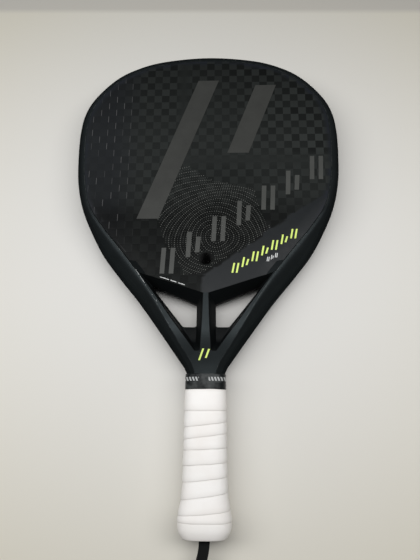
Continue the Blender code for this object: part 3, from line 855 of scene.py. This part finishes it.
def face_skin(name, node, look, front):
    """One carbon skin: flat, rolling off to the crease beside each arm, rounded at the edge of the hole."""
    coarse = half_outline(4)
    outer, extra = face_outline()
    x0, y0, radius = HOLE
    circle = hole_ring(radius)
    for reach in (0.0003, 0.0007, 0.004):
        extra += hole_ring(radius + reach)
    for i in range(-12, 13):
        for j in range(-2, 22):
            place = (i * 0.009, j * 0.01)
            if nearest(place, coarse)[0] > 0.032 and (place[0] - x0) ** 2 + (place[1] - y0) ** 2 > 0.0001:
                extra.append(place)
    extra = [p for p in extra if inside(p, outer)]
    at = FACE_Z if front else 0.0
    way = -1 if front else 1
    fallen = {}

    def surface(p):
        key = (round(p[0], 6), round(p[1], 6))
        if key not in fallen:
            from_hole = math.hypot(p[0] - x0, p[1] - y0) - radius
            lip = 0.00018 * max(0.0, 1 - from_hole / 0.0006) ** 2
            fallen[key] = max(lip, roll_off(p, coarse) if p[1] < ROLL_END_Y else 0.0)
        return at + way * fallen[key]

    def under(p):
        return surface(p) + way * SKIN

    top = filled(outer, [circle], extra, surface)
    bottom = filled(outer, [circle], [], under)
    points, faces = joined(top, bottom, wall(outer, surface, under), wall(circle, surface, under))
    skin = new_object(name, points, faces, look, [node], 40)
    tag(skin, "band", "FLOAT", points, [nearest(p, coarse)[0] for p in points])


# ---- marks and wear

MARK_Z = FACE_Z - 0.00002
MARK_THICKNESS = 0.00008
DOT_CENTRE = Vector((0.0095, 0.025))
DOT_PITCH = 0.00205
DOT_ROWS = 46
DOT_RISE = 0.00016
# Where the grit is, round the face's middle.
DOT_REGION = [
    (-0.039, 0.095), (-0.019, 0.099), (0.005, 0.083), (0.045, 0.074), (0.051, 0.048),
    (0.059, 0.0344), (0.038, 0.017), (0.018, 0.006), (-0.004, -0.009), (-0.02, -0.01),
    (-0.024, 0.0), (-0.039, 0.022), (-0.049, 0.052), (-0.045, 0.077),
]


def plates(name, outlines, look, low):
    """Thin printed shapes, paint chips and painted highlight flakes lying on a flat part of the face. Returns
    their vertices.
    """
    parts = []
    for outline in outlines:
        n = len(outline)
        points = [(x, y, z) for z in (low, low + MARK_THICKNESS) for x, y in outline]
        faces = ring_faces(range(n), range(n, 2 * n)) + [tuple(range(n)), tuple(range(n, 2 * n))]
        parts.append((points, faces))
    points, faces = joined(*parts)
    mesh = mesh_of(name, points, faces, look)
    turned_outward(mesh, False)
    added(name, mesh)
    return mesh.vertices


def slanted_bar(centre, width, height, lean):
    """A parallelogram: upright sides leaning by lean from foot to top."""
    x, y = centre
    w, h, s = width / 2, height / 2, lean / 2
    return [(x - w - s, y - h), (x + w - s, y - h), (x + w + s, y + h), (x - w + s, y + h)]


def glyph_row(start, end, count, size, stroke, lean):
    """A row of generic two-bar marks climbing from start to end."""
    found = []
    for k in range(count):
        middle = Vector(start).lerp(Vector(end), k / (count - 1))
        reach = (size[0] - stroke) / 2
        short = 0.62 if k % 2 else 1.0
        found.append(slanted_bar((middle.x - reach, middle.y), stroke, size[1], lean))
        found.append(slanted_bar((middle.x + reach, middle.y), stroke, size[1] * short, lean))
    return found


def dot_places(bars):
    """Plane places of the grit dots, in curved rows that swell and narrow, clear of the bars and the hole."""
    found = []
    for row in range(DOT_ROWS):
        reach = 0.0032 + DOT_PITCH * row
        count = max(6, int(2 * math.pi * reach * 1.1 / DOT_PITCH))
        for k in range(count):
            turn = 2 * math.pi * (k + 0.5 * (row % 2)) / count
            swell = 1 + 0.05 * math.sin(3 * turn + row * 0.22)
            place = DOT_CENTRE + Vector((1.12 * math.cos(turn), 0.98 * math.sin(turn))) * reach * swell
            from_hole = math.hypot(place.x - HOLE[0], place.y - HOLE[1])
            printed = any(inside(tuple(place), bar) for bar in bars)
            if inside(tuple(place), DOT_REGION) and not printed and from_hole >= HOLE[2] + 0.0012:
                found.append((place, 0.00048 if row % 2 else 0.00028))
    return found


def spin_dots(look, bars):
    """Low raised dots, each a six-sided stud with a narrower top."""
    dots = []
    for place, size in dot_places(bars):
        rings = []
        for scale, z in ((1.0, MARK_Z), (0.55, MARK_Z + DOT_RISE)):
            turns = [math.pi / 3 * corner for corner in range(6)]
            reach = size * scale
            rings.append([(place.x + reach * math.cos(a), place.y + reach * math.sin(a), z) for a in turns])
        low, high = range(6), range(6, 12)
        dots.append((rings[0] + rings[1], ring_faces(low, high) + [tuple(high), tuple(reversed(low))]))
    points, faces = joined(*dots)
    added("spin_dots", mesh_of("spin_dots", points, faces, look))


def chips_and_highlights(start, end, count, widest):
    """Flakes along an edge that runs from start to end, each with its own width: bare laminate where paint is
    chipped off, and a painted highlight where they lie along a crest.
    """
    a, b = Vector(start), Vector(end)
    across = Vector((-(b - a).y, (b - a).x)).normalized()
    found = []
    for k in range(count):
        size = widest * (0.45 + 0.9 * abs(noise.noise(Vector((k * 0.73, 4.0, a.x * 90)))))
        if noise.noise(Vector((k * 0.31, 9.0, a.x * 90))) < -0.22:
            continue
        left = a.lerp(b, k / count)
        right = a.lerp(b, (k + 1.02) / count)
        corners = (left, right, right + across * size, left + across * size * 0.8)
        found.append([tuple(corner) for corner in corners])
    return found


def face_marks():
    """Plain bars where a maker's words would be, grit, paint chipped off edges that get knocked, and a
    painted highlight in flakes along the left arm's crest.
    """
    ink = {"Specular_IOR_Level": 0.25}
    tone = plain("print_grey", (0.04, 0.041, 0.038), 0.45, **ink)
    letter = plain("print_silver", (0.056, 0.058, 0.054), 0.45, **ink)
    lime = plain("print_lime", (0.7, 0.86, 0.2), 0.5, **ink)
    white = plain("print_white", (0.62, 0.63, 0.62), 0.5, **ink)
    # Bare laminate for the chips, also used for the painted highlight on the crest.
    chip_and_highlight_look = plain("bare_laminate_and_painted_highlight", (0.62, 0.63, 0.62), 0.7, Specular_IOR_Level=0.2)
    bands = [
        slanted_bar((-0.027, 0.119), 0.0205, 0.15, 0.056),
        slanted_bar((0.044, 0.15), 0.0205, 0.076, 0.0284),
    ]
    plates("printed_bands", bands, tone, MARK_Z)
    row = glyph_row((-0.035, 0.003), (0.104, 0.0955), 7, (0.0125, 0.0245), 0.0042, 0.0012)
    plates("printed_row", row, letter, MARK_Z + 0.00003)
    row = glyph_row((0.0265, -0.004), (0.08, 0.0285), 7, (0.0054, 0.0092), 0.0016, 0.0018)
    plates("lime_row", row, lime, MARK_Z)
    row = glyph_row((0.056, 0.0042), (0.0634, 0.0078), 3, (0.0022, 0.0042), 0.0008, 0.0008)
    plates("white_row", row, white, MARK_Z)
    plates("edge_chips", chips_and_highlights((-0.0414, -0.0125), (-0.019, -0.0201), 30, 0.0011), chip_and_highlight_look, MARK_Z)
    # Painted highlight along the left arm's crest, in flakes like the chips.
    crest_highlights = chips_and_highlights((-0.0637, -0.0052), (-0.0535, -0.0202), 24, 0.00035)
    crest_highlights += chips_and_highlights((-0.0478, -0.0285), (-0.0431, -0.035), 12, 0.0004)
    for vertex in plates("crest_highlight_flakes", crest_highlights, chip_and_highlight_look, MARK_Z):
        vertex.co.z += half_height(vertex.co.y) - MID + 0.00002
    spin_dots(plain("spin_grit", (0.115, 0.118, 0.11), 0.8, Specular_IOR_Level=0.2), bands)
    throat = [
        slanted_bar((-0.0036, -0.081), 0.0016, 0.0098, 0.0036),
        slanted_bar((0.0018, -0.0802), 0.0016, 0.0076, 0.0028),
    ]
    for vertex in plates("throat_mark", throat, lime, 0.0):
        vertex.co.z += MID + half_height(vertex.co.y) - 0.00003


# ---- grip and tape

GRIP_PROFILE = [
    (-0.1099, 0.0183, 0.0148), (-0.13, 0.0185, 0.015), (-0.159, 0.0187, 0.015), (-0.186, 0.0191, 0.0152),
    (-0.198, 0.0199, 0.0158), (-0.207, 0.0217, 0.017), (-0.2145, 0.0228, 0.0178), (-0.22, 0.0222, 0.0173),
    (-0.224, 0.0205, 0.016), (-0.2268, 0.0185, 0.0146),
]
GRIP_ROUNDNESS = 3.0
# The wrap's lower edge on the handle's right and left side, turn by turn from the top.
SEAMS = [
    (-0.1276, -0.1278), (-0.1362, -0.1423), (-0.1452, -0.152), (-0.1573, -0.16), (-0.1684, -0.1723),
    (-0.1793, -0.1855), (-0.1909, -0.1989), (-0.2045, -0.2102), (-0.2138, -0.214),
]
# The ribbon's thickness and width at its rounded lower edge, how deep it goes, and its points per turn.
WRAP_STEP = 0.00045
WRAP_EDGE = 0.0016
WRAP_UNDER = 0.0006
PER_TURN = 72


def grip_half(y):
    """The grip's half width and half thickness."""
    rows = list(reversed(GRIP_PROFILE))
    ys, widths, depths = zip(*rows)
    return float(np.interp(y, ys, widths)), float(np.interp(y, ys, depths))


def oval_point(y, a, c, turn, roundness=GRIP_ROUNDNESS):
    cosine, sine = math.cos(turn), math.sin(turn)
    x = math.copysign(abs(cosine) ** (2 / roundness), cosine) * a
    z = math.copysign(abs(sine) ** (2 / roundness), sine) * c
    return Vector((x, y, MID + z))


def outward(point, a, c):
    return Vector((point.x / a**2, 0, (point.z - MID) / c**2)).normalized()


def grip_point(y, turn, rise):
    """A point on the grip's outside, raised by rise. Each point moves straight out from the axis."""
    a, c = grip_half(y)
    point = oval_point(y, a, c, turn)
    return point + outward(point, a, c) * rise


def spaced_turns(count):
    """Angles spaced evenly along the perimeter of the handle's oval."""
    dense = [2 * math.pi * i / 720 for i in range(721)]
    places = [oval_point(0, 0.0187, 0.015, t) for t in dense]
    run = np.concatenate([[0], np.cumsum([(b - a).length for a, b in zip(places, places[1:])])])
    return [float(np.interp(run[-1] * k / count, run, dense)) for k in range(count)]


def overgrip(look):
    """One long ribbon wound down the handle, each turn's lower edge lying over the one below it."""
    top_y, end_y = GRIP_PROFILE[0][0], GRIP_PROFILE[-1][0]
    last = len(SEAMS) + 1
    turns = [1.0 + k / 2 for k in range(2 * len(SEAMS))] + [float(last)]
    heights = [y for pair in SEAMS for y in pair] + [end_y]

    def seam(turn):
        return top_y if turn <= 1.0 else float(np.interp(turn, turns, heights))

    angles = spaced_turns(PER_TURN)
    edge = [(-0.0006, -0.0001), (0.0, 0.00025), (0.0004, WRAP_STEP), (WRAP_EDGE, WRAP_STEP)]
    rings = []
    tags = []  # how near each point is to a seam
    for k in range(PER_TURN, (last + 1) * PER_TURN + 1):
        turn = k / PER_TURN
        angle = angles[k % PER_TURN]
        low = max(seam(turn), end_y)
        high = max(seam(turn - 1) if turn >= 2 else top_y, low + 0.0022)
        wave = 0.00012 * noise.noise(Vector((math.cos(angle) * 3, math.sin(angle) * 3, turn * 1.7)))
        ring = []
        near = []
        for offset, rise in edge:
            ring.append(grip_point(max(low + offset, end_y), angle, rise - WRAP_STEP + wave))
            near.append(1.0 if rise < WRAP_STEP * 0.9 else 0.35)
        for part in (0.25, 0.45, 0.65, 0.85, 1.0, 1.04):
            y = low + WRAP_EDGE + (high - low - WRAP_EDGE) * part
            rise = WRAP_STEP * (1 - part) if part < 1.02 else -0.0003
            bulge = 0.0001 * math.sin(math.pi * min(part, 1.0))
            ring.append(grip_point(min(y, top_y), angle, rise - WRAP_STEP + bulge + wave))
            near.append(0.8 if part > 0.95 else 0.0)
        for y in (high, (low + high) / 2, low):
            ring.append(grip_point(min(max(y, end_y), top_y), angle, -WRAP_STEP - WRAP_UNDER))
            near.append(0.0)
        rings.append(ring)
        tags += near
    points, faces = swept(rings)
    grip = new_object("wound_overgrip", points, faces, look, ["overgrip"], 50)
    tag(grip, "seam", "FLOAT", points, tags)


TAPE_THICKNESS = 0.0006
TAPE_ROUNDNESS = 3.4


def finishing_tape(look):
    """The tape round the neck, a little creased, with its edges rounded."""
    low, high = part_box("finishing_tape")
    a, c = high[0] - 0.0001, (high[2] - low[2]) / 2 - 0.0001
    y0, y1 = low[1] - 0.0006, high[1] + 0.0002
    # Where each ring is along the tape, and how far it is raised.
    rows = [(0.0, -TAPE_THICKNESS), (0.0, -0.0002), (0.03, 0.0)] + [(k / 12, 0.0) for k in range(1, 12)]
    rows += [(0.97, 0.0), (1.0, -0.0002), (1.0, -TAPE_THICKNESS)]
    turns = spaced_turns(120)
    rings = []
    for part, rise in rows:
        ring = []
        for turn in turns:
            y = y0 + (y1 - y0) * part
            point = oval_point(y, a, c, turn, TAPE_ROUNDNESS)
            crumple = 0.00022 * noise.noise(Vector((point.x * 130, y * 330, point.z * 130)))
            point = point + outward(point, a, c) * (rise + (crumple if rise > -0.0001 else 0.0))
            point.y += 0.00035 * noise.noise(Vector((point.x * 90, 7.0, point.z * 90)))
            ring.append(point)
        rings.append(ring)
    points, faces = swept([*rings, rings[0]], caps=False)
    new_object("neck_tape", points, faces, look, ["finishing_tape"], 60)


# ---- strap

STRAP_WIDTH = 0.0088
STRAP_THICKNESS = 0.002
STRAP_HEADING = math.radians(8)
STRAP_STEPS = 8
RUN_HEIGHT = 0.002
RUN_SPACING = 0.0034
LOOP_HEIGHT = 0.0047
RUN = (0.046, 0.056, 0.066, 0.076, 0.086)
# Distance from the butt and height where it lies flat.
FLAT_OUT = [
    (-0.0125, 0.0156), (-0.0065, 0.0162), (0.0, 0.0173), (0.009, 0.0171), (0.018, 0.015), (0.027, 0.0094),
    (0.036, 0.004), *[(distance, RUN_HEIGHT) for distance in RUN],
]
FLAT_BACK = [
    *[(distance, RUN_HEIGHT + RUN_SPACING) for distance in reversed(RUN)], (0.036, 0.0074), (0.027, 0.0128),
    (0.018, 0.0184), (0.009, 0.0205), (0.0, 0.0207), (-0.0065, 0.0218), (-0.0125, 0.0224),
]
# Distance, offset to the side, height, and the webbing's turn onto its edge, where it opens and closes.
TWIST_OUT = [(0.096, -0.0014, 0.0029, 22), (0.107, -0.0062, 0.0043, 52), (0.12, -0.014, 0.0048, 80)]
TWIST_BACK = [(0.12, 0.0138, 0.005, 80), (0.107, 0.006, 0.0056, 52), (0.096, 0.0014, 0.0055, 22)]
# Distance and offset round the loop.
STRAP_LOOP = [
    (0.136, -0.023), (0.153, -0.0295), (0.17, -0.031), (0.185, -0.025), (0.195, -0.012),
    (0.1975, 0.003), (0.193, 0.017), (0.182, 0.028), (0.167, 0.0325), (0.151, 0.03), (0.135, 0.023),
]


def strap_place(distance, offset, height):
    """A point of the strap's own frame in space: it leaves the butt turned a little to the left."""
    bent = smoothstep(distance / 0.02) * STRAP_HEADING
    ahead = Vector((-math.sin(bent), -math.cos(bent), 0.0))
    right = Vector((-ahead.y, ahead.x, 0.0))
    return Vector((0.0, BUTT_Y, height)) + ahead * distance + right * offset


def strap_section():
    """The webbing's section, a little waisted, with rounded selvedges."""
    w, t = STRAP_WIDTH / 2, STRAP_THICKNESS / 2
    top = [(w, t / 2), (w - 0.0003, t), (w / 2, t * 0.92), (0, t * 0.9), (-w / 2, t * 0.92)]
    top += [(-w + 0.0003, t), (-w, t / 2)]
    under = [(u, -v) for u, v in reversed(top)]
    return under[1:] + top + under[:1]


def wrist_strap(look):
    """Webbing that lies flat as it leaves the butt and stands on edge round the loop."""
    out, back = [[(distance, 0.0, height, 0) for distance, height in run] for run in (FLAT_OUT, FLAT_BACK)]
    loop = [(distance, offset, LOOP_HEIGHT, 90) for distance, offset in STRAP_LOOP]
    route = spline([*out, *TWIST_OUT, *loop, *TWIST_BACK, *back], STRAP_STEPS)
    places = [strap_place(*row[:3]) for row in route]
    section = strap_section()
    rings = []
    marks = []
    run = 0.0
    for i, place in enumerate(places):
        if i:
            run += (place - places[i - 1]).length
        tangent = heading(places, i)
        edge = math.radians(route[i][3])
        flat = Vector((tangent.y, -tangent.x, 0.0)).normalized()
        away = flat if i < len(places) / 2 else -flat
        across = (away * math.cos(edge) + Vector((0, 0, 1)) * math.sin(edge)).normalized()
        across = (across - tangent * across.dot(tangent)).normalized()
        thick = across.cross(tangent).normalized()
        rings.append([place + across * u + thick * v for u, v in section])
        marks += [(run, u, v) for u, v in section]
    points, faces = swept(rings)
    strap = new_object("woven_strap", points, faces, look, ["wrist_strap"], 60)
    tag(strap, "route", "FLOAT_VECTOR", points, marks)


def carried(node, look):
    """A CAD node that stays, with a better material."""
    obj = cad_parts[node]
    obj.data.materials.clear()
    obj.data.materials.append(look)


def main():
    camera()
    surroundings()
    carbon = woven_carbon()
    black = plain("moulded_black", (0.016, 0.017, 0.018), 0.48, 0.12)
    wrist_strap(webbing())
    frame_shell(painted("black_paint", False))
    protector(plain("protector_black", (0.0125, 0.0135, 0.0145), 0.4, 0.06))
    throat_bridge(painted("bridge_paint", True), recess_painted_shade())
    face_skin("front_skin", "front_face", carbon, True)
    face_skin("back_skin", "back_face", carbon, False)
    face_marks()
    overgrip(grip_wrap())
    finishing_tape(tape_material())
    carried("eva_core", plain("core_foam", (0.022, 0.022, 0.022), 0.9, 0.5, 900.0))
    carried("handle_core", plain("handle_foam", (0.45, 0.43, 0.36), 0.9, 0.5, 900.0))
    carried("base_grip", plain("base_wrap", (0.03, 0.03, 0.032), 0.75, 0.3))
    carried("base_grip_tape", black)
    for node in ("pallet_front", "pallet_back", "butt_cap", "strap_slider"):
        carried(node, black)
    steel = Net("pin_steel", (0.55, 0.55, 0.56), 0.35, Metallic=1.0)
    carried("strap_pin", steel.material)


main()
